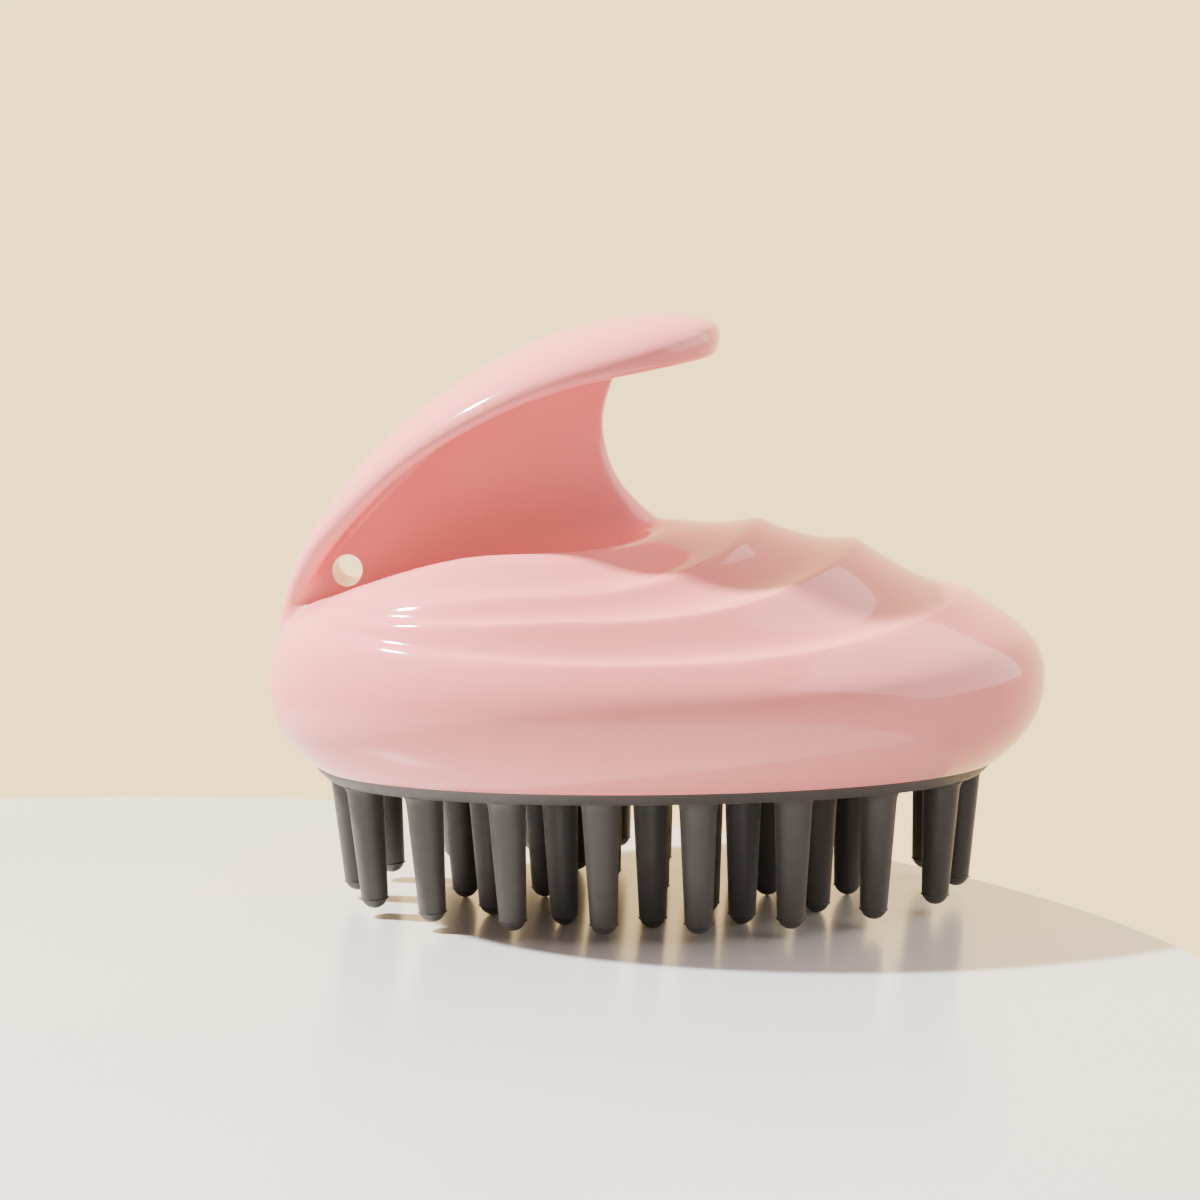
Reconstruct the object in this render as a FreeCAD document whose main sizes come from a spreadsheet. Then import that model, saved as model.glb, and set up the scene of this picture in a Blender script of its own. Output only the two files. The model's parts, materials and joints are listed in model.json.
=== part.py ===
"""Scalp massager brush: pebble dome with a finned finger hook, and a pad of flexible bristles.

Frame: millimetres, origin on the ground plane under the middle of the object, +Z up,
+X towards the open mouth of the finger hook, and Y = 0 is the plane of symmetry.
"""
import FreeCAD, Part
import math
import os

from FreeCAD import Placement, Rotation, Vector

doc = FreeCAD.newDocument("ScalpMassagerBrush")
sheet = doc.addObject("Spreadsheet::Sheet", "Sheet")

# ---------------------------------------------------------------- driving dimensions

DIMENSIONS = {
    # spherical arch under the brush, concave to the scalp
    "arch_radius": 400.0,
    "arch_top": 17.3,
    # the pad and everything fixed to it sit a little off the middle of the shell
    "core_shift": -0.4,
    # shell mouth and rim
    "rim_foot": 15.0,
    "rim_top": 22.0,
    "rim_half_length": 39.0,
    "rim_half_width": 26.8,
    "rim_taper": 42.0,
    "mouth_half_length": 38.3,
    "mouth_half_width": 27.0,
    "cavity_top": 35.7,
    "cavity_rounding": 12.0,
    # silicone pad
    "flange_thick": 1.9,
    "pad_thick": 2.9,
    "stud_radius": 1.5,
    "stud_foot": 19.1,
    "stud_top": 22.8,
    "stud_circle": 0.78,
    # carrier plate
    "plate_thick": 2.0,
    "plate_gap": 0.1,
    "wall_height": 4.0,
    "wall_thick": 1.8,
    # bristles
    "root_radius": 2.15,
    "tip_radius": 1.6,
    "socket_gap": 0.1,
    "hinge_drop": 1.0,
    "outer_ring_raise": 1.0,
    "lean_radius": 570.0,
    # fin and hole
    "fin_thick": 4.6,
    "hole_radius": 1.8,
    "hole_along": -36.3,
    "hole_height": 40.3,
}

# Bristle rings: how many, and the half axes of the ring on which the tips stand.
BRISTLE_RINGS = {
    "ring_a": (6, 13.4, 10.3),
    "ring_b": (12, 23.0, 17.0),
    "ring_c": (18, 36.0, 25.0),
}

# The dome's skin is a smooth surface controlled by a stack of eccentric ellipses, from below
# the rim up to the inside of the fin. Each one has a left and a right end on the mid-plane, a
# half width, and three heights: at its left end, at its widest place and at its right end.
# Crests and troughs alternate on the right and crowd together on the left, where the waves
# die out.
DOME_RINGS = {
    "tuck": (-33.1, 33.1, 21.8, 12.7, 12.7, 12.7),
    "under": (-37.0, 36.7, 25.4, 14.6, 14.6, 14.6),
    "edge": (-41.2, 40.8, 29.4, 17.0, 17.0, 17.0),
    "curl": (-44.0, 43.5, 32.2, 19.5, 19.5, 19.5),
    "low": (-45.9, 45.6, 34.2, 22.4, 22.4, 22.4),
    "belt": (-46.5, 46.4, 35.1, 26.1, 26.1, 26.1),
    "flank": (-46.1, 46.1, 34.9, 30.0, 28.8, 30.0),
    "brow": (-44.8, 42.3, 34.0, 33.4, 30.7, 33.7),
    "outer_crest": (-43.0, 36.6, 32.4, 35.1, 33.0, 37.3),
    "outer_trough": (-42.8, 32.6, 30.9, 35.3, 32.9, 37.8),
    "outer_riser": (-42.5, 28.3, 29.4, 35.5, 35.0, 40.2),
    "middle_crest": (-42.2, 24.0, 28.0, 35.9, 37.3, 43.1),
    "middle_trough": (-41.9, 20.2, 26.0, 36.0, 36.7, 42.9),
    "middle_riser": (-41.6, 15.2, 24.6, 36.2, 37.7, 44.4),
    "inner_crest": (-41.2, 12.5, 23.2, 36.3, 39.5, 45.7),
    "inner_slope": (-40.8, 8.0, 20.2, 36.5, 39.9, 44.8),
    "shoulder": (-40.2, 4.0, 15.6, 36.7, 45.0, 45.4),
    "groove": (-38.5, -1.5, 9.0, 36.2, 39.8, 46.0),
    "hidden_top": (-30.0, -8.0, 3.0, 41.0, 41.0, 41.0),}
RING_FIELDS = ("left", "right", "half", "rise_left", "rise_front", "rise_right")
HEIGHT_POWER_RIGHT = 3.2
HEIGHT_POWER_LEFT = 1.6
RING_SAMPLES = 72

# Stations of the hook lip along its crown line: X and Z of the crown, half width,
# thickness and how far the edges hang below the crown.
LIP_STATIONS = [
    (-45.4, 29.6, 3.4, 3.0, 0.1),
    (-45.0, 33.8, 4.0, 3.2, 0.2),
    (-44.0, 38.6, 4.8, 3.2, 0.4),
    (-42.0, 43.1, 6.0, 3.3, 0.7),
    (-39.3, 47.4, 7.9, 3.4, 1.2),
    (-32.7, 55.5, 11.2, 3.6, 2.1),
    (-24.8, 61.7, 13.2, 3.8, 2.9),
    (-15.8, 66.7, 14.4, 4.2, 3.3),
    (-7.6, 69.4, 14.6, 4.9, 3.3),
    (-0.6, 70.35, 13.8, 5.1, 2.8),
    (3.6, 70.1, 11.9, 5.0, 2.0),
    (6.2, 69.6, 9.2, 4.5, 1.2),
    (7.7, 68.8, 6.2, 3.6, 0.7),
    (8.2, 67.8, 2.4, 1.6, 0.2),
]
LIP_TIP_START = 10
LIP_SQUARENESS = 3.2
LIP_SAMPLES = 28

# Fin outline on the mid-plane: the concave front edge from the lip down into the dome,
# and the back line that runs inside the lip.
FIN_FRONT = [(-2.8, 66.7), (-3.6, 62.7), (-5.3, 58.2), (-5.6, 54.7), (-5.1, 51.1),
             (-4.1, 48.5), (-2.8, 46.6), (-0.3, 44.7)]
FIN_BACK = [(-42.8, 35.7), (-41.8, 39.7), (-40.1, 43.2), (-37.5, 47.3), (-31.3, 54.3),
            (-23.7, 60.2), (-14.9, 65.1), (-8.5, 67.2)]
FIN_FOOT = 37.2


def fill_sheet():
    """Write every driving dimension as a plain number with a word for its alias."""
    cells = dict(DIMENSIONS)
    for name, values in DOME_RINGS.items():
        for field, value in zip(RING_FIELDS, values):
            cells[f"{name}_{field}"] = value
    for name, (count, half_x, half_y) in BRISTLE_RINGS.items():
        cells[f"{name}_count"] = count
        cells[f"{name}_half_x"] = half_x
        cells[f"{name}_half_y"] = half_y
    for row, (alias, value) in enumerate(cells.items(), start=1):
        sheet.set(f"A{row}", alias)
        sheet.set(f"B{row}", str(value))
        sheet.setAlias(f"B{row}", alias)
    doc.recompute()


def size(alias):
    return float(sheet.get(alias))


fill_sheet()

ARCH_CENTRE = Vector(0, 0, size("arch_top") - size("arch_radius"))
LEAN_CENTRE = Vector(0, 0, size("arch_top") - size("lean_radius"))
CORE_MIDDLE = Vector(size("core_shift"), 0, 0)
UP = Vector(0, 0, 1)
GROUND_LEVEL = 0.0
WALL_LEVEL = 45.0  # above everything inside the shell


# ---------------------------------------------------------------- handle shell

def ring_point(name, angle):
    """A point of one dome ring, at an angle counted from its right end."""
    left, right, half, rise_left, rise_front, rise_right = (
        size(f"{name}_{field}") for field in RING_FIELDS)
    along, across = math.cos(angle), math.sin(angle)
    if along > 0:
        height = rise_front + (rise_right - rise_front) * along ** HEIGHT_POWER_RIGHT
    else:
        height = rise_front + (rise_left - rise_front) * (-along) ** HEIGHT_POWER_LEFT
    middle, reach = (left + right) / 2, (right - left) / 2
    return Vector(middle + reach * along, half * across, height)


def skin_solid(rows):
    """Uniform cubic skin controlled by rows of points that close round, with flat ends."""
    degree = 3
    spans, samples = len(rows) - degree, len(rows[0])
    ends = [degree + 1]
    skin = Part.BSplineSurface()
    skin.buildFromPolesMultsKnots(
        rows, ends + [1] * (spans - 1) + ends, [1] * (samples + 1),
        [float(knot) for knot in range(spans + 1)],
        [float(knot) for knot in range(samples + 1)], False, True, degree, degree)
    side = skin.toShape()
    seam = max(side.Edges, key=lambda edge: 0 if edge.isClosed() else edge.Length)
    caps = [Part.Face(Part.Wire([edge])) for edge in side.Edges if not edge.isSame(seam)]
    skin_and_caps = Part.makeCompound([side] + caps)
    skin_and_caps.sewShape()
    solid = Part.makeSolid(skin_and_caps)
    if solid.Volume < 0:
        solid.reverse()
    return solid


def dome_solid():
    angles = [2 * math.pi * step / RING_SAMPLES for step in range(RING_SAMPLES)]
    return skin_solid([[ring_point(name, angle) for angle in angles] for name in DOME_RINGS])


def lip_section(station, direction):
    """Closed bean-shaped row of points across the lip, square to the crown line."""
    crown_x, crown_z, half, thick, drop = station
    normal = Vector(-direction.z, 0, direction.x)
    centre = Vector(crown_x, 0, crown_z) - normal * (thick / 2)
    points = []
    for step in range(LIP_SAMPLES):
        angle = 2 * math.pi * step / LIP_SAMPLES
        across = math.copysign(abs(math.cos(angle)) ** (2 / LIP_SQUARENESS), math.cos(angle))
        up = math.copysign(abs(math.sin(angle)) ** (2 / LIP_SQUARENESS), math.sin(angle))
        hang = drop * across * across
        points.append(centre + Vector(0, half * across, 0) + normal * (up * thick / 2 - hang))
    return points


def lip_solid():
    sections = []
    for index, station in enumerate(LIP_STATIONS):
        turning = min(index, LIP_TIP_START)  # the rounded tip keeps one direction
        before, after = LIP_STATIONS[max(turning - 1, 0)], LIP_STATIONS[turning + 1]
        direction = Vector(after[0] - before[0], 0, after[1] - before[1])
        sections.append(lip_section(station, direction.normalize()))
    return skin_solid(sections)


def fin_solid():
    """Flat web on the mid-plane, from inside the lip down into the dome."""
    front = Part.BSplineCurve()
    front.interpolate([Vector(x, 0, z) for x, z in FIN_FRONT])
    back = Part.BSplineCurve()
    back.interpolate([Vector(x, 0, z) for x, z in FIN_BACK])
    front_top, front_foot = (Vector(x, 0, z) for x, z in (FIN_FRONT[0], FIN_FRONT[-1]))
    back_foot, back_top = (Vector(x, 0, z) for x, z in (FIN_BACK[0], FIN_BACK[-1]))
    corner = Vector(front_foot.x, 0, FIN_FOOT)
    outline = Part.Wire([
        front.toShape(),
        Part.makeLine(front_foot, corner),
        Part.makeLine(corner, back_foot),
        back.toShape(),
        Part.makeLine(back_top, front_top),
    ])
    thick = size("fin_thick")
    web = Part.Face(outline).extrude(Vector(0, thick, 0))
    web.translate(Vector(0, -thick / 2, 0))
    return web


def cavity_solid():
    """Room under the dome, straight from the mouth and rounded at the top."""
    mouth = Part.Ellipse(CORE_MIDDLE, size("mouth_half_length"), size("mouth_half_width"))
    block = Part.Face(Part.Wire([mouth.toShape()])).extrude(UP * size("cavity_top"))
    top_edge = max(block.Edges, key=lambda edge: edge.BoundBox.ZMin)
    return block.makeFillet(size("cavity_rounding"), [top_edge])


def make_handle_shell():
    part = dome_solid().fuse(lip_solid().fuse(fin_solid()))
    reach = Vector(0, size("fin_thick"), 0)
    hole_middle = Vector(size("hole_along"), 0, size("hole_height"))
    hole = Part.makeCylinder(size("hole_radius"), 2 * reach.Length, hole_middle - reach, reach)
    under = Part.makeSphere(size("arch_radius") + size("flange_thick"), ARCH_CENTRE)
    for waste in (cavity_solid(), under, hole):
        part = part.cut(waste)
    feature = doc.addObject("Part::Feature", "handle_shell")
    feature.Shape = part.Solids[0] if len(part.Solids) == 1 else part
    feature.Placement = Placement()
    return feature


# ---------------------------------------------------------------- parametric helpers

def bound(kind, name, **expressions):
    """Add an object and bind the named properties to expressions on the sheet."""
    thing = doc.addObject(kind, name)
    for prop, text in expressions.items():
        thing.setExpression(prop, text)
    return thing


def sphere(name, radius):
    """Ball about the centre of the arch."""
    ball = bound("Part::Sphere", name, Radius=radius)
    ball.Placement.Base = ARCH_CENTRE
    return ball


def prism(name, half_x, half_y, low=GROUND_LEVEL, high=WALL_LEVEL, **expressions):
    """Upright prism on an ellipse about the core's middle."""
    outline = bound("Part::Ellipse", name + "_outline", MajorRadius=half_x, MinorRadius=half_y)
    outline.Placement.Base = CORE_MIDDLE + UP * low
    solid = bound("Part::Extrusion", name, **expressions)
    solid.Base = outline
    solid.DirMode = "Custom"
    solid.Dir = UP
    solid.LengthFwd = high - low
    solid.Solid = True
    return solid


def boolean(kind, name, base, tool):
    result = doc.addObject(kind, name)
    result.Base = base
    result.Tool = tool
    return result


def fuse_all(name, shapes):
    result = doc.addObject("Part::MultiFuse", name)
    result.Shapes = shapes
    return result


# ---------------------------------------------------------------- bristles

def bristle_tips():
    """Where the tip balls stand: one in the middle, then rings outwards."""
    low = size("tip_radius")
    tips = [CORE_MIDDLE + UP * low]
    for name in BRISTLE_RINGS:
        count = int(size(f"{name}_count"))
        half_x, half_y = size(f"{name}_half_x"), size(f"{name}_half_y")
        raised = size("outer_ring_raise") if name == "ring_c" else 0
        for angle in even_angles(count, half_x, half_y):
            place = Vector(half_x * math.cos(angle), half_y * math.sin(angle), low + raised)
            tips.append(CORE_MIDDLE + place)
    return tips


def even_angles(count, half_x, half_y):
    """Angles that put points at equal distances along an ellipse, starting on +X."""
    steps = 3600
    angles = [2 * math.pi * step / steps for step in range(steps + 1)]
    runs = [0.0]
    for start, end in zip(angles, angles[1:]):
        runs.append(runs[-1] + math.hypot(half_x * (math.cos(end) - math.cos(start)),
                                          half_y * (math.sin(end) - math.sin(start))))
    picked, step = [], 0
    for number in range(count):
        target = runs[-1] * number / count
        while runs[step + 1] < target:
            step += 1
        share = (target - runs[step]) / (runs[step + 1] - runs[step])
        picked.append(angles[step] + share * (angles[step + 1] - angles[step]))
    return picked


def hinge_of(tip):
    """Root of a bristle: where the line from the lean centre through the tip meets the arch."""
    outwards = (tip - LEAN_CENTRE).normalize()
    start = tip - ARCH_CENTRE
    half_way = start.dot(outwards)
    level = size("arch_radius") - size("hinge_drop")
    reach = math.sqrt(half_way ** 2 + level ** 2 - start.dot(start)) - half_way
    return tip + outwards * reach, outwards


def make_bristle(number, tip):
    """Tapered pin with a ball at the root and a rounded tip, hanging from its root."""
    hinge, outwards = hinge_of(tip)
    reach = (hinge - tip).Length
    body = doc.addObject("PartDesign::Body", f"bristle_{number:02d}")
    root_ball = body.newObject("PartDesign::AdditiveSphere", f"root_ball_{number:02d}")
    root_ball.setExpression("Radius", "Sheet.root_radius")
    taper = body.newObject("PartDesign::AdditiveCone", f"taper_{number:02d}")
    taper.setExpression("Radius1", "Sheet.tip_radius")
    taper.setExpression("Radius2", "Sheet.root_radius")
    taper.Height = reach
    taper.Placement.Base = UP * -reach
    tip_ball = body.newObject("PartDesign::AdditiveSphere", f"tip_ball_{number:02d}")
    tip_ball.setExpression("Radius", "Sheet.tip_radius")
    tip_ball.Placement.Base = UP * -reach
    body.Placement = Placement(hinge, Rotation(UP, outwards))
    return body


# ---------------------------------------------------------------- pad and plate

def stud_places():
    """Six key studs of the pad, between the bristle rings."""
    share = size("stud_circle")
    half_x, half_y = size("mouth_half_length") * share, size("mouth_half_width") * share
    return [CORE_MIDDLE + Vector(half_x * math.cos(angle), half_y * math.sin(angle), 0)
            for angle in (math.radians(degrees) for degrees in (30, 90, 150, 210, 270, 330))]


def studs(prefix, low, high):
    """Upright pins or their holes."""
    pins = []
    for number, place in enumerate(stud_places()):
        pin = bound("Part::Cylinder", f"{prefix}_{number}", Radius="Sheet.stud_radius")
        pin.Height = high - low
        pin.Placement.Base = place + UP * low
        pins.append(pin)
    return fuse_all(prefix, pins)


def make_bristle_pad(tips):
    """Arched silicone sheet: thin flange under the shell's rim, thicker inside the mouth."""
    rim = prism("pad_rim", "Sheet.rim_half_length", "Sheet.rim_half_width", size("rim_foot"),
                size("rim_top"), TaperAngle="Sheet.rim_taper")
    under_rim = boolean("Part::Common", "pad_rim_below", rim,
                        sphere("rim_ball", "Sheet.arch_radius + Sheet.flange_thick"))
    core = prism("pad_core", "Sheet.mouth_half_length - Sheet.plate_gap",
                 "Sheet.mouth_half_width - Sheet.plate_gap")
    under_core = boolean("Part::Common", "pad_core_below", core,
                         sphere("core_ball", "Sheet.arch_radius + Sheet.pad_thick"))
    block = fuse_all("pad_block", [under_rim, under_core])
    pad_sheet = boolean("Part::Cut", "pad_sheet", block,
                        sphere("scalp_ball", "Sheet.arch_radius"))
    sockets = []
    for number, tip in enumerate(tips):
        hole = bound("Part::Sphere", f"socket_{number:02d}",
                     Radius="Sheet.root_radius + Sheet.socket_gap")
        hole.Placement.Base = hinge_of(tip)[0]
        sockets.append(hole)
    pins = studs("pad_stud", size("stud_foot"), size("stud_top"))
    with_studs = fuse_all("pad_with_studs", [pad_sheet, pins])
    return boolean("Part::Cut", "bristle_pad", with_studs, fuse_all("sockets", sockets))


def make_base_plate():
    """Rigid arched carrier with an upright wall that locates it in the shell's mouth."""
    wide = ("Sheet.mouth_half_length - Sheet.plate_gap", "Sheet.mouth_half_width - Sheet.plate_gap")
    narrow = tuple(text + " - Sheet.wall_thick" for text in wide)
    disc = boolean("Part::Common", "plate_disc", prism("plate_prism", *wide),
                   sphere("plate_top", "Sheet.arch_radius + Sheet.pad_thick + Sheet.plate_thick"))
    tall = boolean("Part::Common", "plate_tall", prism("wall_prism", *wide),
                   sphere("wall_top", "Sheet.arch_radius + Sheet.pad_thick + Sheet.plate_thick"
                                      " + Sheet.wall_height"))
    wall = boolean("Part::Cut", "plate_wall", tall, prism("wall_inside", *narrow))
    block = fuse_all("plate_block", [disc, wall])
    arched = boolean("Part::Cut", "plate_arched", block,
                     sphere("pad_back", "Sheet.arch_radius + Sheet.pad_thick"))
    return boolean("Part::Cut", "base_plate", arched,
                   studs("plate_hole", GROUND_LEVEL, WALL_LEVEL))


# ---------------------------------------------------------------- build, test and write

tips = bristle_tips()
nodes = [make_handle_shell(), make_base_plate(), make_bristle_pad(tips)]
nodes += [make_bristle(number, tip) for number, tip in enumerate(tips)]
doc.recompute()

for thing in doc.Objects:
    bad = [word for word in thing.State if word in ("Invalid", "Error")]
    if bad:
        raise RuntimeError(f"{thing.Name} failed: {bad}")

os.makedirs("parts", exist_ok=True)
for node in nodes:
    node.Label = node.Name
    shape = node.Shape
    if shape.isNull() or not shape.isValid() or len(shape.Solids) != 1:
        raise RuntimeError(f"{node.Label} is not one sound solid: {len(shape.Solids)} solids, "
                           f"valid {shape.isValid()}")
    shape.exportStep(f"parts/{node.Label}.step")
    if not node.Label.startswith("bristle_0") or node.Label == "bristle_00":
        print(f"{node.Label:14s} volume {shape.Volume / 1000:8.2f} cm3")

for number, tip in enumerate(tips):
    hinge = hinge_of(tip)[0]
    print(f"hinge {number:02d} {hinge.x:9.4f} {hinge.y:9.4f} {hinge.z:9.4f}")
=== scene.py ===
# %% [markdown]
# A scalp massager brush.
# The real thing is a glossy pink shell, moulded in one piece with a fin and a hook for the
# fingers, over a grey silicone pad with soft bristles. The pieces' sizes and places come from
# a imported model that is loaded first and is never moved.

import json
import math

import bmesh
import bpy
from mathutils import Matrix, Vector
from mathutils.bvhtree import BVHTree


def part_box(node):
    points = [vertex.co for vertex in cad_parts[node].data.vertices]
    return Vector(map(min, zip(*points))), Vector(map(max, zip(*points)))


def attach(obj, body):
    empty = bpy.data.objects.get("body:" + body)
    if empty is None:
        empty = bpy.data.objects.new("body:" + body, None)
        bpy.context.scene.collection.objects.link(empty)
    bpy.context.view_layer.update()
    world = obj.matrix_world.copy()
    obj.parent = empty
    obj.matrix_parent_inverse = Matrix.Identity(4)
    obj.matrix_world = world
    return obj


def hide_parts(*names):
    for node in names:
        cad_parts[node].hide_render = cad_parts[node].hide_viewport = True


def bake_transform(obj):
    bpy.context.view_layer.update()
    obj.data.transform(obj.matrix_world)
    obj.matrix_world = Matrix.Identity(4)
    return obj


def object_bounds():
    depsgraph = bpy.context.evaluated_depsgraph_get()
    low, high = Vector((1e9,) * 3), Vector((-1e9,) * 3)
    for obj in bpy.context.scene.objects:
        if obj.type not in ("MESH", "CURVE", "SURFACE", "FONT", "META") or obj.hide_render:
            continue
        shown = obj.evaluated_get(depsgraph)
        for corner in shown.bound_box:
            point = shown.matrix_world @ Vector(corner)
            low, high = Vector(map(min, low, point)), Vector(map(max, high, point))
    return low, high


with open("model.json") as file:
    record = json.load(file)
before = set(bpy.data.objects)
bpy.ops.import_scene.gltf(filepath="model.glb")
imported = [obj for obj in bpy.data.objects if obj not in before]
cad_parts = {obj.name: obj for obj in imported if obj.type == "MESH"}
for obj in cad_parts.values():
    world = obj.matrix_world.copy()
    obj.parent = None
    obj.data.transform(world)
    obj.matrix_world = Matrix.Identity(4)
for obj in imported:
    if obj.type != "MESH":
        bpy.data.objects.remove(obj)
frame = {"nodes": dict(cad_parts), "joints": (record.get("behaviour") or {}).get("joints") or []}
cad_low, cad_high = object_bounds()
bpy.ops.object.select_all(action="DESELECT")
print("loaded", len(frame["nodes"]), "nodes")

# %% [markdown]
# Sizes are written in millimetres, as a maker says them, and turned into metres here.
# The underside is a shallow arch, part of a very large ball, so that the bristles can follow a
# head. Pad, shell rim and bristles all take their direction from that ball's middle.

# %% Sizes that several pieces share
MM = 0.001
ARCH_RADIUS = 400.0
LEAN_RADIUS = 570.0
ARCH_TOP = 17.3
ARCH_CENTRE = Vector((0, 0, ARCH_TOP - ARCH_RADIUS))
LEAN_CENTRE = Vector((0, 0, ARCH_TOP - LEAN_RADIUS))
CORE_SHIFT = -0.4
FLANGE_THICK = 1.9
MOUTH = (38.3, 27.0)
HEAD = "head"


def metres(point):
    return Vector(point) * MM


def pick(*objects):
    """Select only these objects; the first one is active."""
    bpy.ops.object.select_all(action="DESELECT")
    for obj in objects:
        obj.select_set(True)
    bpy.context.view_layer.objects.active = objects[0]


def apply_modifier(obj, kind, **settings):
    """Add a modifier, set it up and apply it."""
    pick(obj)
    modifier = obj.modifiers.new(kind.title(), kind)
    for key, value in settings.items():
        setattr(modifier, key, value)
    bpy.ops.object.modifier_apply(modifier=modifier.name)


def soft_step(value):
    value = min(max(value, 0.0), 1.0)
    return value * value * (3 - 2 * value)


def arch_height(x, y, above=0.0):
    """Height of the arch over the ground, or of a surface that lies above it."""
    radius = ARCH_RADIUS + above
    return ARCH_CENTRE.z + math.sqrt(radius * radius - x * x - y * y)


# %% [markdown]
# Smooth plastic is easiest to control as a cage: a face is extruded again and again, and each
# new loop of points is put in its next place. A subdivision surface then turns the cage into
# one smooth skin. The first and the last face close the two ends.

# %% Extrude a loop from place to place
def put(verts, loop):
    """Put vertices at a loop's points and say exactly where they are now."""
    for vert, place in zip(verts, loop):
        vert.co = metres(place)
    return [tuple(vert.co) for vert in verts]


def model_cage(name, loops):
    """Start from a filled circle and extrude it through a list of loops of points."""
    bpy.ops.mesh.primitive_circle_add(vertices=len(loops[0]), radius=MM, fill_type="NGON")
    obj = bpy.context.object
    obj.name = obj.data.name = name
    bpy.ops.object.mode_set(mode="EDIT")
    bpy.ops.mesh.select_all(action="SELECT")
    mesh = bmesh.from_edit_mesh(obj.data)
    ring = sorted(mesh.verts, key=lambda vert: math.atan2(vert.co.y, vert.co.x))
    places = put(ring, loops[0])
    for loop in loops[1:]:
        bpy.ops.mesh.extrude_region_move()
        mesh = bmesh.from_edit_mesh(obj.data)
        found = {tuple(vert.co): vert for vert in mesh.verts if vert.select}
        places = put([found[place] for place in places], loop)
    bmesh.update_edit_mesh(obj.data)
    bpy.ops.mesh.select_all(action="SELECT")
    bpy.ops.mesh.normals_make_consistent(inside=False)
    bpy.ops.object.mode_set(mode="OBJECT")
    print("cage", name, len(obj.data.vertices), "points")
    return obj


# %% [markdown]
# The dome is a pebble with wave ridges. Its cage is a stack of eccentric ellipses: their right
# ends step in one by one as crests and troughs, and their left ends crowd together, so the
# waves run out to nothing there, as they do on the real moulding.

# %% Dome cage
# left end, right end, half width, then the heights at the left end, widest place, right end
DOME_RINGS = {
    "tuck": (-33.1, 33.1, 21.8, 12.7, 12.7, 12.7),
    "under": (-37.0, 36.7, 25.4, 14.6, 14.6, 14.6),
    "edge": (-41.2, 40.8, 29.4, 17.0, 17.0, 17.0),
    "curl": (-44.0, 43.5, 32.2, 19.5, 19.5, 19.5),
    "low": (-45.9, 45.6, 34.2, 22.4, 22.4, 22.4),
    "belt": (-46.5, 46.4, 35.1, 26.1, 26.1, 26.1),
    "flank": (-46.1, 46.1, 34.9, 30.0, 28.8, 30.0),
    "brow": (-44.8, 42.3, 34.0, 33.4, 30.7, 33.7),
    "outer_crest": (-43.0, 36.6, 32.4, 35.1, 33.0, 37.3),
    "outer_trough": (-42.8, 32.6, 30.9, 35.3, 32.9, 37.8),
    "outer_riser": (-42.5, 28.3, 29.4, 35.5, 35.0, 40.2),
    "middle_crest": (-42.2, 24.0, 28.0, 35.9, 37.3, 43.1),
    "middle_trough": (-41.9, 20.2, 26.0, 36.0, 36.7, 42.9),
    "middle_riser": (-41.6, 15.2, 24.6, 36.2, 37.7, 44.4),
    "inner_crest": (-41.2, 12.5, 23.2, 36.3, 39.5, 45.7),
    "inner_slope": (-40.8, 8.0, 20.2, 36.5, 39.9, 44.8),
    "shoulder": (-40.2, 4.0, 15.6, 36.7, 45.0, 45.4),
    "groove": (-38.5, -1.5, 9.0, 36.2, 39.8, 46.0),
    "hidden_top": (-30.0, -8.0, 3.0, 41.0, 41.0, 41.0),
}
HEIGHT_POWER_RIGHT = 3.2
HEIGHT_POWER_LEFT = 1.6
DOME_SAMPLES = 64


def dome_loop(left, right, half, rise_left, rise_front, rise_right):
    """One eccentric ellipse whose height runs from its left end to its right end."""
    loop = []
    for step in range(DOME_SAMPLES):
        angle = math.tau * step / DOME_SAMPLES
        along, across = math.cos(angle), math.sin(angle)
        if along > 0:
            height = rise_front + (rise_right - rise_front) * along ** HEIGHT_POWER_RIGHT
        else:
            height = rise_front + (rise_left - rise_front) * (-along) ** HEIGHT_POWER_LEFT
        loop.append(((left + right) / 2 + (right - left) / 2 * along, half * across, height))
    return loop


dome = model_cage("dome", [dome_loop(*ring) for ring in DOME_RINGS.values()])

# %% [markdown]
# A subdivision surface alone would melt the three crests into soft swells. Edge creases hold
# them up. They fade in from left to right, because the real waves are sharpest in front and
# are gone where they meet the root of the hook.

# %% Crease the crests and smooth the dome
CREASES = {"outer_crest": 0.5, "middle_crest": 0.55, "inner_crest": 0.5}
CREASE_START = 0.15
CREASE_FADE = 0.4
DOME_SMOOTH_LEVELS = 2


def crease_crests(cage):
    """Sharpen the crest loops towards the right, where the waves stand out."""
    pick(cage)
    bpy.ops.object.mode_set(mode="EDIT")
    mesh = bmesh.from_edit_mesh(cage.data)
    crease = mesh.edges.layers.float.new("crease_edge")
    mesh.verts.ensure_lookup_table()
    for name, sharpness in CREASES.items():
        first = list(DOME_RINGS).index(name) * DOME_SAMPLES
        ring = mesh.verts[first:first + DOME_SAMPLES]
        left = min(vert.co.x for vert in ring)
        right = max(vert.co.x for vert in ring)
        members = set(ring)
        for edge in mesh.edges:
            if members.issuperset(edge.verts):
                share = (edge.verts[0].co.x - left) / (right - left)
                edge[crease] = sharpness * soft_step((share - CREASE_START) / CREASE_FADE)
    bmesh.update_edit_mesh(cage.data)
    bpy.ops.object.mode_set(mode="OBJECT")


crease_crests(dome)
apply_modifier(dome, "SUBSURF", levels=DOME_SMOOTH_LEVELS, render_levels=DOME_SMOOTH_LEVELS)
print("dome", len(dome.data.polygons), "faces")

# %% [markdown]
# The hook lip is a leaf-shaped cap that two fingers go under. Its cage is a bean-shaped loop
# carried along the lip's crown line: narrow where it leaves the dome, broad in front, with its
# edges hanging a little below the crown.

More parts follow.
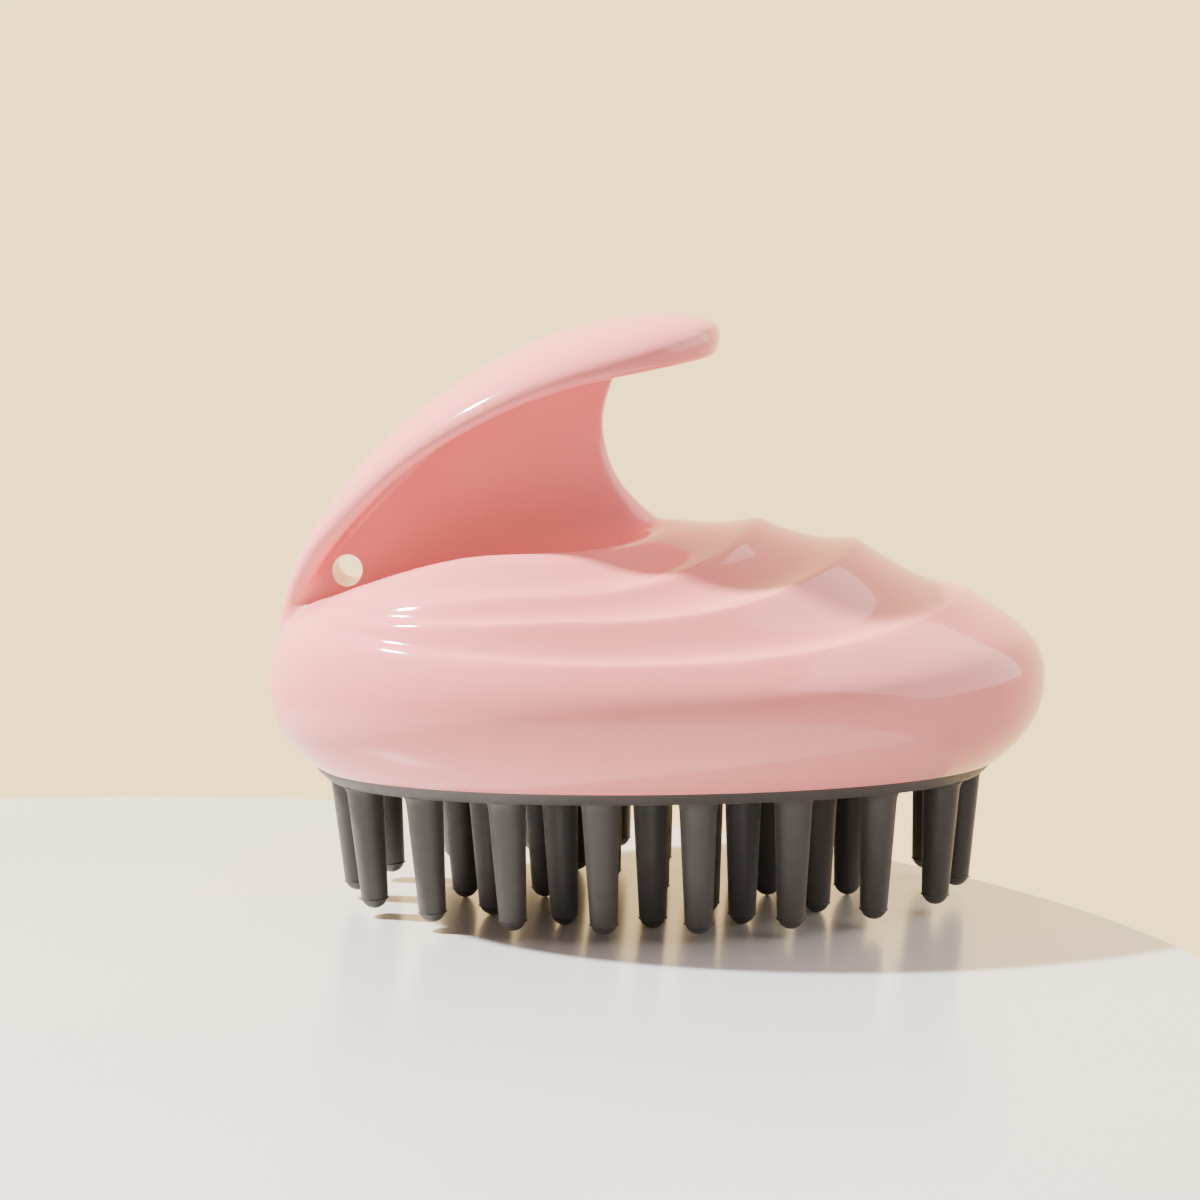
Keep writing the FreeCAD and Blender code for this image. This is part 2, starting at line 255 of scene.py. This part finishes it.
# %% Lip cage
# crown point along and up, half width, thickness, hang of the edges
LIP_STATIONS = [
    (-45.4, 29.6, 3.4, 3.0, 0.1),
    (-45.0, 33.8, 4.0, 3.2, 0.2),
    (-44.0, 38.6, 4.8, 3.2, 0.4),
    (-42.0, 43.1, 6.0, 3.3, 0.7),
    (-39.3, 47.4, 7.9, 3.4, 1.2),
    (-32.7, 55.5, 11.2, 3.6, 2.1),
    (-24.8, 61.7, 13.2, 3.8, 2.9),
    (-15.8, 66.7, 14.4, 4.2, 3.3),
    (-7.6, 69.4, 14.6, 4.9, 3.3),
    (-0.6, 70.35, 13.8, 5.1, 2.8),
    (3.6, 70.1, 11.9, 5.0, 2.0),
    (6.2, 69.6, 9.2, 4.5, 1.2),
    (7.7, 68.8, 6.2, 3.6, 0.7),
    (8.2, 67.8, 2.4, 1.6, 0.2),
]
LIP_TIP_START = 10
HOOK_SMOOTH_LEVELS = 3
LIP_SQUARENESS = 3.2
LIP_SAMPLES = 28


def lip_loop(index):
    """Bean-shaped loop square to the crown line at one station."""
    turning = min(index, LIP_TIP_START)  # the rounded tip keeps one direction
    before = LIP_STATIONS[max(turning - 1, 0)]
    after = LIP_STATIONS[turning + 1]
    crown_x, crown_z, half, thick, hang = LIP_STATIONS[index]
    along = Vector((after[0] - before[0], 0, after[1] - before[1])).normalized()
    normal = Vector((-along.z, 0, along.x))
    centre = Vector((crown_x, 0, crown_z)) - normal * (thick / 2)
    power = 2 / LIP_SQUARENESS
    loop = []
    for step in range(LIP_SAMPLES):
        angle = math.tau * step / LIP_SAMPLES
        across = math.copysign(abs(math.cos(angle)) ** power, math.cos(angle))
        up = math.copysign(abs(math.sin(angle)) ** power, math.sin(angle))
        rise = up * thick / 2 - hang * across * across
        loop.append(centre + Vector((0, half * across, 0)) + normal * rise)
    return loop


lip = model_cage("lip", [lip_loop(index) for index in range(len(LIP_STATIONS))])
apply_modifier(lip, "SUBSURF", levels=HOOK_SMOOTH_LEVELS, render_levels=HOOK_SMOOTH_LEVELS)
print("lip", len(lip.data.polygons), "faces")

# %% [markdown]
# The fin is the upright web that carries the lip. It is extruded upwards as a flat rounded
# slice. Its foot spreads out over the dome, its front end follows the concave front edge, and
# its back end and its top stay inside the lip.

# %% Fin
# back end along and up, front end along and up, half thickness
FIN_LEVELS = [
    (-42.5, 33.5, 3.4, 42.4, 8.0),
    (-42.6, 35.6, 2.5, 44.0, 6.4),
    (-42.6, 37.6, 1.2, 45.4, 4.6),
    (-42.4, 40.0, -0.7, 46.8, 3.3),
    (-41.6, 42.9, -2.9, 48.9, 2.55),
    (-39.6, 46.0, -4.7, 51.4, 2.3),
    (-36.4, 50.4, -5.7, 54.9, 2.3),
    (-31.8, 55.2, -5.9, 58.4, 2.3),
    (-25.8, 59.8, -4.7, 61.9, 2.35),
    (-20.0, 63.2, -3.3, 64.9, 2.6),
    (-14.0, 65.9, -1.8, 67.2, 3.2),
]
FIN_CORNERS = 5
FIN_ROUNDNESS = 0.6


def fin_loop(back, back_height, front, front_height, radius):
    """Long flat slice that climbs from back to front and has rounded ends."""
    loop = []
    climb = (front_height - back_height) / (front - back)
    for centre, turn in ((front - radius, 0.0), (back + radius, math.pi)):
        for step in range(FIN_CORNERS + 1):
            angle = turn - math.pi / 2 + math.pi * step / FIN_CORNERS
            across = math.copysign(abs(math.sin(angle)) ** FIN_ROUNDNESS, math.sin(angle))
            along = centre + radius * math.cos(angle)
            loop.append((along, radius * across, back_height + climb * (along - back)))
    return loop


fin = model_cage("fin", [fin_loop(*level) for level in FIN_LEVELS])
apply_modifier(fin, "SUBSURF", levels=HOOK_SMOOTH_LEVELS, render_levels=HOOK_SMOOTH_LEVELS)
print("fin", len(fin.data.polygons), "faces")

# %% [markdown]
# On the real object the three shapes are one moulding with soft fillets between them. Here
# they are joined and remeshed into one skin, the junctions are smoothed until they flow, and
# everywhere else the skin is drawn back on to the exact shapes, so that reflections stay clean.

# %% Merge into one moulding
VOXEL = 0.42
JUNCTION_REACH = 2.6
JUNCTION_CORE = 0.15
JUNCTION_STEPS = 26
SKIN_GAP = 0.5
FINAL_STEPS = 2


def tree_of(obj):
    return BVHTree.FromObject(obj, bpy.context.evaluated_depsgraph_get())


def copy_of(obj, name):
    twin = obj.copy()
    twin.data = obj.data.copy()
    twin.name = twin.data.name = name
    bpy.context.collection.objects.link(twin)
    return twin


def weigh(obj, name, weights):
    group = obj.vertex_groups.new(name=name)
    for index, weight in enumerate(weights):
        if weight > 0:
            group.add([index], weight, "REPLACE")


shell = copy_of(dome, "shell_moulding")
pick(shell, copy_of(lip, "lip_copy"), copy_of(fin, "fin_copy"))
bpy.ops.object.join()
apply_modifier(shell, "REMESH", mode="VOXEL", voxel_size=VOXEL * MM, use_smooth_shade=True)
trees = {"dome": tree_of(dome), "lip": tree_of(lip), "fin": tree_of(fin)}
junction, on_part = [], {"dome": [], "lip": [], "fin": []}
for vert in shell.data.vertices:
    gaps = {key: tree.find_nearest(vert.co)[3] / MM for key, tree in trees.items()}
    nearest, second = sorted(gaps.values())[:2]
    blend = soft_step(1 + JUNCTION_CORE - second / JUNCTION_REACH)
    junction.append(blend)
    owner = min(gaps, key=gaps.get)
    for key, weights in on_part.items():
        weights.append(1.0 - blend if key == owner and nearest < SKIN_GAP else 0.0)
weigh(shell, "junction", junction)
for key, weights in on_part.items():
    weigh(shell, "on_" + key, weights)
apply_modifier(shell, "SMOOTH", factor=0.5, iterations=JUNCTION_STEPS, vertex_group="junction")
for key, target in (("dome", dome), ("lip", lip), ("fin", fin)):
    apply_modifier(shell, "SHRINKWRAP", target=target, vertex_group="on_" + key,
                   wrap_method="NEAREST_SURFACEPOINT")
apply_modifier(shell, "SMOOTH", factor=0.5, iterations=FINAL_STEPS)
print("moulding", len(shell.data.polygons), "faces")

# %% [markdown]
# The moulding is then cut as the mould's core would leave it: an arched underside that sits on
# the pad, and a hollow for the carrier plate. Both tools are cages again, so a boolean can take
# them out of the solid moulding in one clean cut each.

# %% Cut the underside and the hollow
UNDER_REACH = (60.0, 50.0)
UNDER_SHARES = (1.0, 0.9, 0.8, 0.7, 0.6, 0.5, 0.4, 0.3, 0.2, 0.1, 0.02)
CAVITY_FOOT = 5.0
CAVITY_TOP = 35.7
CAVITY_ROUNDING = 12.0
CAVITY_STEPS = 8
CUT_SAMPLES = 96


def ellipse_loop(half_x, half_y, height, samples=CUT_SAMPLES):
    """Level ellipse, or one that lies on the arch if height is a function of x and y."""
    loop = []
    for step in range(samples):
        angle = math.tau * step / samples
        x, y = CORE_SHIFT + half_x * math.cos(angle), half_y * math.sin(angle)
        loop.append((x, y, height(x, y) if callable(height) else height))
    return loop


def cut(obj, tool):
    """Take a tool shape out of an object and delete the tool."""
    apply_modifier(obj, "BOOLEAN", object=tool, operation="DIFFERENCE", solver="EXACT")
    bpy.data.objects.remove(tool)


def shell_edge(x, y):
    return arch_height(x, y, FLANGE_THICK)


def under_block():
    """Everything below the shell's arched rim."""
    loops = [ellipse_loop(*UNDER_REACH, 0.0)]
    loops += [ellipse_loop(UNDER_REACH[0] * share, UNDER_REACH[1] * share, shell_edge)
              for share in UNDER_SHARES]
    return model_cage("under_block", loops)


def cavity_block():
    """The hollow: straight walls up from the mouth, rounded over at the top."""
    loops = [ellipse_loop(*MOUTH, CAVITY_FOOT),
             ellipse_loop(*MOUTH, CAVITY_TOP - CAVITY_ROUNDING)]
    for step in range(1, CAVITY_STEPS + 1):
        angle = math.pi / 2 * step / CAVITY_STEPS
        inset = CAVITY_ROUNDING * (1 - math.cos(angle))
        rise = CAVITY_ROUNDING * math.sin(angle)
        loops.append(ellipse_loop(MOUTH[0] - inset, MOUTH[1] - inset,
                                  CAVITY_TOP - CAVITY_ROUNDING + rise))
    return model_cage("cavity_block", loops)


cut(shell, under_block())
cut(shell, cavity_block())
print("cut moulding", len(shell.data.polygons), "faces")

# %% [markdown]
# The hanging hole goes straight through the fin, close to the root of the hook. A straight pin
# cuts it, and the shading angle then keeps its two rims crisp while the skin stays smooth. The
# finished shell rides on the head and takes the place of the plain packed one.

# %% Drill the hanging hole and finish the shell
HOLE_RADIUS = 1.8
HOLE_PLACE = (-36.3, 40.3)
HOLE_REACH = 6.0
HOLE_SIDES = 64
SHELL_CREASE_ANGLE = 38


def pin_loop(depth):
    """One end of the straight pin that cuts the hanging hole through the fin."""
    return [(HOLE_PLACE[0] + HOLE_RADIUS * math.cos(math.tau * step / HOLE_SIDES), depth,
             HOLE_PLACE[1] + HOLE_RADIUS * math.sin(math.tau * step / HOLE_SIDES))
            for step in range(HOLE_SIDES)]


cut(shell, model_cage("hole_pin", [pin_loop(-HOLE_REACH), pin_loop(HOLE_REACH)]))
for helper in (dome, lip, fin):
    bpy.data.objects.remove(helper)
pick(shell)
bpy.ops.object.shade_smooth_by_angle(angle=math.radians(SHELL_CREASE_ANGLE))
shell.vertex_groups.clear()
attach(shell, HEAD)
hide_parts("handle_shell")
print("shell", len(shell.data.vertices), "points")

# %% [markdown]
# The silicone pad is a thin arched sheet. Only its rim shows: a sloping side that runs in from
# the shell's edge to the underside. A thicker core fills the shell's mouth.

# %% Pad
RIM = (40.75, 29.55)
RIM_SLOPE = math.tan(math.radians(42))
# height above the underside, and how much fuller the rim's side is there than a straight slope
RIM_STEPS = ((0.05, 0.0), (0.18, 0.08), (0.5, 0.13), (1.0, 0.14), (1.5, 0.1), (1.8, 0.03))
UNDERSIDE_SHARES = (0.02, 0.2, 0.4, 0.6, 0.8, 0.94)
UNDERSIDE_EDGE = 0.2
CORE_SHARES = (0.7, 0.4, 0.02)
CORE_GAP = 0.1
SHELL_GAP = 0.01
PAD_THICK = 2.9
PAD_SAMPLES = 128
PAD_CREASE_ANGLE = 24


def pad_loop(half_x, half_y, above):
    return ellipse_loop(half_x, half_y, lambda x, y: arch_height(x, y, above), PAD_SAMPLES)


def rim_loop(above, fuller=0.0):
    """Loop on the rim's sloping side, a little fuller than a straight slope."""
    inset = (FLANGE_THICK - above) * RIM_SLOPE - fuller
    return pad_loop(RIM[0] - inset, RIM[1] - inset, above)


pad_top = FLANGE_THICK - SHELL_GAP
core = (MOUTH[0] - CORE_GAP, MOUTH[1] - CORE_GAP)
foot = tuple(half - FLANGE_THICK * RIM_SLOPE for half in RIM)
pad_loops = [pad_loop(foot[0] * share, foot[1] * share, 0) for share in UNDERSIDE_SHARES]
pad_loops += [pad_loop(foot[0] - UNDERSIDE_EDGE, foot[1] - UNDERSIDE_EDGE, 0)]
pad_loops += [rim_loop(above, fuller) for above, fuller in RIM_STEPS]
pad_loops += [rim_loop(pad_top), pad_loop(*core, pad_top), pad_loop(*core, PAD_THICK)]
pad_loops += [pad_loop(core[0] * share, core[1] * share, PAD_THICK) for share in CORE_SHARES]
pad = model_cage("silicone_pad", pad_loops)
bpy.ops.object.shade_smooth_by_angle(angle=math.radians(PAD_CREASE_ANGLE))
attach(pad, HEAD)
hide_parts("bristle_pad")

# %% [markdown]
# Each bristle is a tapered pin of soft silicone: a small fillet at its root, a straight taper,
# and a round tip with the fine flash line that the two mould halves leave. One bristle is
# modelled. The others are copies of its mesh, stretched to their own length and turned so that
# they stand square on the arch.

# %% Model one bristle
TIP_RADIUS = 1.6
MASTER_LENGTH = 17.4
BRISTLE_SIDES = 32
ROOT_PROFILE = [(-0.5, 2.3), (0.0, 2.5), (0.12, 2.4), (0.35, 2.27), (0.7, 2.18), (1.4, 2.12)]
SHAFT_SHARES = (0.25, 0.5, 0.75, 1.0)
FLASH_ANGLE = 16
FLASH_WIDTH = 3
FLASH_PROUD = 0.17
TIP_ANGLES = (9, FLASH_ANGLE - FLASH_WIDTH, FLASH_ANGLE, FLASH_ANGLE + FLASH_WIDTH,
              32, 44, 56, 68, 79, 87)


def bristle_profile(length):
    """Depth below the pad and radius, from the root to the tip."""
    start, neck = ROOT_PROFILE[-1]
    end = length - TIP_RADIUS
    profile = list(ROOT_PROFILE)
    for share in SHAFT_SHARES:
        profile.append((start + (end - start) * share, neck + (TIP_RADIUS - neck) * share))
    for angle in TIP_ANGLES:
        proud = FLASH_PROUD if angle == FLASH_ANGLE else 0.0
        turn = math.radians(angle)
        profile.append((end + TIP_RADIUS * math.sin(turn),
                        (TIP_RADIUS + proud) * math.cos(turn)))
    return profile


def round_loop(radius, depth):
    return [(radius * math.cos(math.tau * step / BRISTLE_SIDES),
             radius * math.sin(math.tau * step / BRISTLE_SIDES), -depth)
            for step in range(BRISTLE_SIDES)]


master = model_cage("bristle_master", [round_loop(radius, depth)
                                       for depth, radius in bristle_profile(MASTER_LENGTH)])
bpy.ops.object.shade_smooth()
print("one bristle has", len(master.data.polygons), "faces")

# %% [markdown]
# A real bristle bends along its length when it is dragged over the skin. The imported model
# turns each one about its root. Each copy here is stretched to its bristle's length and set at
# its hinge, standing square on the arch.

# %% Plant the bristles
HINGE_DROP = 1.0


def plant(joint):
    """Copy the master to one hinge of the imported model."""
    number = joint["name"][-2:]
    node, body = "bristle_" + number, joint["child"]
    hinge = Vector(joint["pos_m"]) / MM
    outwards = (hinge - LEAN_CENTRE).normalized()
    root = hinge + outwards * HINGE_DROP
    tip_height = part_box(node)[0][2] / MM + TIP_RADIUS
    reach = (root.z - tip_height) / outwards.z + TIP_RADIUS
    piece = copy_of(master, "bristle_skin_" + number)
    fixed = ROOT_PROFILE[-1][0]
    stretch = (reach - TIP_RADIUS - fixed) / (MASTER_LENGTH - TIP_RADIUS - fixed)
    for vert in piece.data.vertices:
        depth = -vert.co.z / MM
        if depth > MASTER_LENGTH - TIP_RADIUS:
            depth += reach - MASTER_LENGTH
        elif depth > fixed:
            depth = fixed + (depth - fixed) * stretch
        vert.co.z = -depth * MM
    turn = Vector((0, 0, 1)).rotation_difference(outwards).to_matrix().to_4x4()
    piece.data.transform(Matrix.Translation(metres(root)) @ turn)
    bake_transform(piece)
    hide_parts(node)
    return piece


bristles = [plant(joint) for joint in frame["joints"]]
bpy.data.objects.remove(master)
print("planted", len(bristles), "bristles")

# %% [markdown]
# Every finish here is a Principled shader whose colour, gloss and relief are varied a little by
# noise, since no real surface is perfectly even. The noise reads Object coordinates, so that a
# pattern stays fixed on its piece when the piece moves. Four small helpers build such a tree.

# %% Helpers for materials
NOISE_LOW = 0.3
NOISE_HIGH = 0.7


def new_material(name):
    """A node material, its tree and its Principled shader."""
    material = bpy.data.materials.new(name)
    material.use_nodes = True
    tree = material.node_tree
    return material, tree, tree.nodes["Principled BSDF"]


def noise(tree, scale, detail=3.0):
    """Noise on the piece's own coordinates, in features per metre."""
    place = tree.nodes.new("ShaderNodeTexCoord")
    node = tree.nodes.new("ShaderNodeTexNoise")
    node.inputs["Scale"].default_value = scale
    node.inputs["Detail"].default_value = detail
    tree.links.new(place.outputs["Object"], node.inputs["Vector"])
    return node.outputs["Fac"]


def ramp(tree, source, low, high):
    """Noise turned into a mix of two colours."""
    node = tree.nodes.new("ShaderNodeValToRGB")
    for stop, place, colour in zip(node.color_ramp.elements, (NOISE_LOW, NOISE_HIGH),
                                   (low, high)):
        stop.position = place
        stop.color = (*colour, 1)
    tree.links.new(source, node.inputs["Fac"])
    return node.outputs["Color"]


def span(tree, source, low, high):
    """Noise turned into a range of numbers."""
    node = tree.nodes.new("ShaderNodeMapRange")
    node.inputs["From Min"].default_value = NOISE_LOW
    node.inputs["From Max"].default_value = NOISE_HIGH
    node.inputs["To Min"].default_value = low
    node.inputs["To Max"].default_value = high
    tree.links.new(source, node.inputs["Value"])
    return node.outputs["Result"]


def bump(tree, source, strength, distance):
    """Noise turned into relief, with its depth in metres."""
    node = tree.nodes.new("ShaderNodeBump")
    node.inputs["Strength"].default_value = strength
    node.inputs["Distance"].default_value = distance
    tree.links.new(source, node.inputs["Height"])
    return node.outputs["Normal"]


def dress(obj, material):
    obj.data.materials.clear()
    obj.data.materials.append(material)


# %% [markdown]
# The shell is glossy ABS in a pale, slightly milky pink: light goes a little way in, so shaded
# places turn warm. Its gloss is never quite even, and a faint orange-peel ripple breaks up
# long reflections.

# %% Glossy pink plastic
PINK_LOW, PINK_HIGH = (0.91, 0.262, 0.257), (0.93, 0.282, 0.275)
PINK_GLOSS = (0.05, 0.09)
ORANGE_PEEL = 0.0002


def shell_plastic():
    material, tree, shader = new_material("glossy_pink_abs")
    tree.links.new(ramp(tree, noise(tree, 45), PINK_LOW, PINK_HIGH),
                   shader.inputs["Base Color"])
    tree.links.new(span(tree, noise(tree, 160), *PINK_GLOSS), shader.inputs["Roughness"])
    tree.links.new(bump(tree, noise(tree, 420, 2.0), 0.05, ORANGE_PEEL),
                   shader.inputs["Normal"])
    shader.inputs["Subsurface Weight"].default_value = 0.12
    shader.inputs["Subsurface Radius"].default_value = (1.0, 0.45, 0.35)
    shader.inputs["Subsurface Scale"].default_value = 0.003
    shader.inputs["IOR"].default_value = 1.5
    return material


pink = shell_plastic()
print("made", pink.name)

# %% [markdown]
# The pad and its bristles are one silicone: a warm dark grey that scatters light softly. Its
# roughness is high and its grain very fine. A trace of sheen gives the dusty edge that
# silicone has where it is seen at a flat angle.

# %% Matte grey silicone
GREY_LOW, GREY_HIGH = (0.045, 0.0395, 0.0355), (0.053, 0.047, 0.0425)
GREY_GLOSS = (0.46, 0.6)
SILICONE_GRAIN = 0.0001


def silicone():
    material, tree, shader = new_material("matte_grey_silicone")
    tree.links.new(ramp(tree, noise(tree, 130, 4.0), GREY_LOW, GREY_HIGH),
                   shader.inputs["Base Color"])
    tree.links.new(span(tree, noise(tree, 700), *GREY_GLOSS), shader.inputs["Roughness"])
    tree.links.new(bump(tree, noise(tree, 5200, 2.0), 0.12, SILICONE_GRAIN),
                   shader.inputs["Normal"])
    shader.inputs["Sheen Weight"].default_value = 0.06
    shader.inputs["Sheen Roughness"].default_value = 0.5
    return material


grey = silicone()
print("made", grey.name)

# %% [markdown]
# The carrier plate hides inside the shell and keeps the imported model's own shape. It is plain
# white plastic, only a little uneven.

# %% Plain white plastic
WHITE_LOW, WHITE_HIGH = (0.66, 0.65, 0.62), (0.72, 0.71, 0.68)
WHITE_GLOSS = (0.4, 0.52)


def carrier_plastic():
    material, tree, shader = new_material("plain_white_carrier")
    tree.links.new(ramp(tree, noise(tree, 90), WHITE_LOW, WHITE_HIGH),
                   shader.inputs["Base Color"])
    tree.links.new(span(tree, noise(tree, 400), *WHITE_GLOSS), shader.inputs["Roughness"])
    return material


white = carrier_plastic()
print("made", white.name)

# %% [markdown]
# Each piece gets its finish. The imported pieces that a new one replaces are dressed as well, so
# that nothing is ever left bare.

# %% Dress every piece
NODE_FINISHES = {"handle_shell": pink, "base_plate": white}

dress(shell, pink)
dress(pad, grey)
for piece in bristles:
    dress(piece, grey)
for name, node in frame["nodes"].items():
    dress(node, NODE_FINISHES.get(name, grey))
print("dressed", 2 + len(bristles) + len(frame["nodes"]), "pieces")

# %% [markdown]
# The brush stands on a round table top with a pale, half-gloss paint that mirrors the bristles
# softly. The table is staging and isn't part of the object.

# %% Table top
TABLE_CENTRE = (-0.0793, -0.0799)
TABLE_RADIUS = 0.1475
TABLE_THICK = 0.02
TABLE_SIDES = 256
TABLE_BEVEL = 0.0008
TABLE_CREASE_ANGLE = 30
PAINT_LOW, PAINT_HIGH = (0.62, 0.615, 0.60), (0.64, 0.635, 0.62)


def table_paint():
    material, tree, shader = new_material("pale_table_paint")
    tree.links.new(ramp(tree, noise(tree, 12), PAINT_LOW, PAINT_HIGH),
                   shader.inputs["Base Color"])
    shader.inputs["Roughness"].default_value = 0.2
    return material


bpy.ops.mesh.primitive_cylinder_add(vertices=TABLE_SIDES, radius=TABLE_RADIUS,
                                    depth=TABLE_THICK,
                                    location=(*TABLE_CENTRE, -TABLE_THICK / 2))
table = bpy.context.object
table.name = "table_top"
apply_modifier(table, "BEVEL", width=TABLE_BEVEL, segments=3, limit_method="ANGLE")
bpy.ops.object.shade_smooth_by_angle(angle=math.radians(TABLE_CREASE_ANGLE))
dress(table, table_paint())
print("table", len(table.data.polygons), "faces")

# %% [markdown]
# Behind the table stands a warm, bright wall, and the rest of the room is dim. Both come from
# one world shader that blends them by direction, which also gives the plastic something soft
# to reflect.

# %% Pale room
ROOM_COLOUR = (0.48, 0.43, 0.40, 1)
WALL_COLOUR = (3.1, 2.15, 1.0, 1)
WALL_START = 0.1
WALL_FULL = 0.9


def pale_room():
    """Even light from a dim room with a beige wall behind the table."""
    world = bpy.data.worlds.new("pale_room")
    world.use_nodes = True
    tree = world.node_tree
    place = tree.nodes.new("ShaderNodeTexCoord")
    parts = tree.nodes.new("ShaderNodeSeparateXYZ")
    tree.links.new(place.outputs["Generated"], parts.inputs["Vector"])
    share = tree.nodes.new("ShaderNodeMapRange")
    share.interpolation_type = "SMOOTHSTEP"
    share.inputs["From Min"].default_value = WALL_START
    share.inputs["From Max"].default_value = WALL_FULL
    tree.links.new(parts.outputs["Y"], share.inputs["Value"])
    mix = tree.nodes.new("ShaderNodeMix")
    mix.data_type = "RGBA"
    mix.inputs["A"].default_value = ROOM_COLOUR
    mix.inputs["B"].default_value = WALL_COLOUR
    tree.links.new(share.outputs["Result"], mix.inputs["Factor"])
    tree.links.new(mix.outputs["Result"], tree.nodes["Background"].inputs["Color"])
    return world


bpy.context.scene.world = pale_room()
print("world", bpy.context.scene.world.name)

# %% [markdown]
# A small key light high on the left gives the crisp shadows. A very wide light on the right
# lifts the shaded side and lies along the ridges as a pale reflection. A weak one from the
# front keeps the finger hook from going black.

# %% Lights
KEY_DIRECTION = Vector((-0.833, 0.155, 1.0)).normalized()
KEY_DISTANCE = 1.46


def area_light(name, place, size, power, colour):
    """A square light that faces the middle of the brush."""
    lamp = bpy.data.lights.new(name, "AREA")
    lamp.size, lamp.energy, lamp.color = size, power, colour
    obj = bpy.data.objects.new(name, lamp)
    obj.location = place
    obj.rotation_euler = (middle - Vector(place)).to_track_quat("-Z", "Y").to_euler()
    bpy.context.collection.objects.link(obj)
    print("light", name, power, "W")


middle = (Vector(cad_low) + Vector(cad_high)) / 2
area_light("key", middle + KEY_DIRECTION * KEY_DISTANCE, 0.085, 112.0, (1.0, 0.955, 0.92))
area_light("front_fill", (-0.9, -1.3, 0.0), 1.3, 2.4, (1.0, 0.95, 0.92))
area_light("side_fill", (1.0, 0.1, 0.75), 1.5, 20.0, (1.0, 0.97, 0.95))

# %% [markdown]
# The camera stands a short arm's length in front, a little above the brush, and looks down at
# it through a long lens, which keeps the dome's outline calm. Its place is turned slightly
# round the brush, and it leans by less than a degree.

# %% Camera
LENS = 99.0
SENSOR_WIDTH = 36
CAMERA_PLACE = Vector((-0.0066, -0.390, 0.0861))
ORBIT = Matrix.Rotation(math.radians(2.3), 3, "Z")
PITCH, ROLL = math.radians(90 - 7.32), math.radians(-0.9)

camera_data = bpy.data.cameras.new("camera")
camera_data.lens = LENS
camera_data.sensor_width = SENSOR_WIDTH
camera = bpy.data.objects.new("camera", camera_data)
camera.location = ORBIT @ CAMERA_PLACE
aim = ORBIT @ Matrix.Rotation(PITCH, 3, "X") @ Matrix.Rotation(ROLL, 3, "Z")
camera.rotation_euler = aim.to_euler()
bpy.context.collection.objects.link(camera)
bpy.context.scene.camera = camera
print("camera at", [round(value, 3) for value in camera.location])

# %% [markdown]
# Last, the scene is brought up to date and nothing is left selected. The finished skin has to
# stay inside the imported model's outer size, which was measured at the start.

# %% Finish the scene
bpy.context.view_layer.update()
bpy.ops.object.select_all(action="DESELECT")
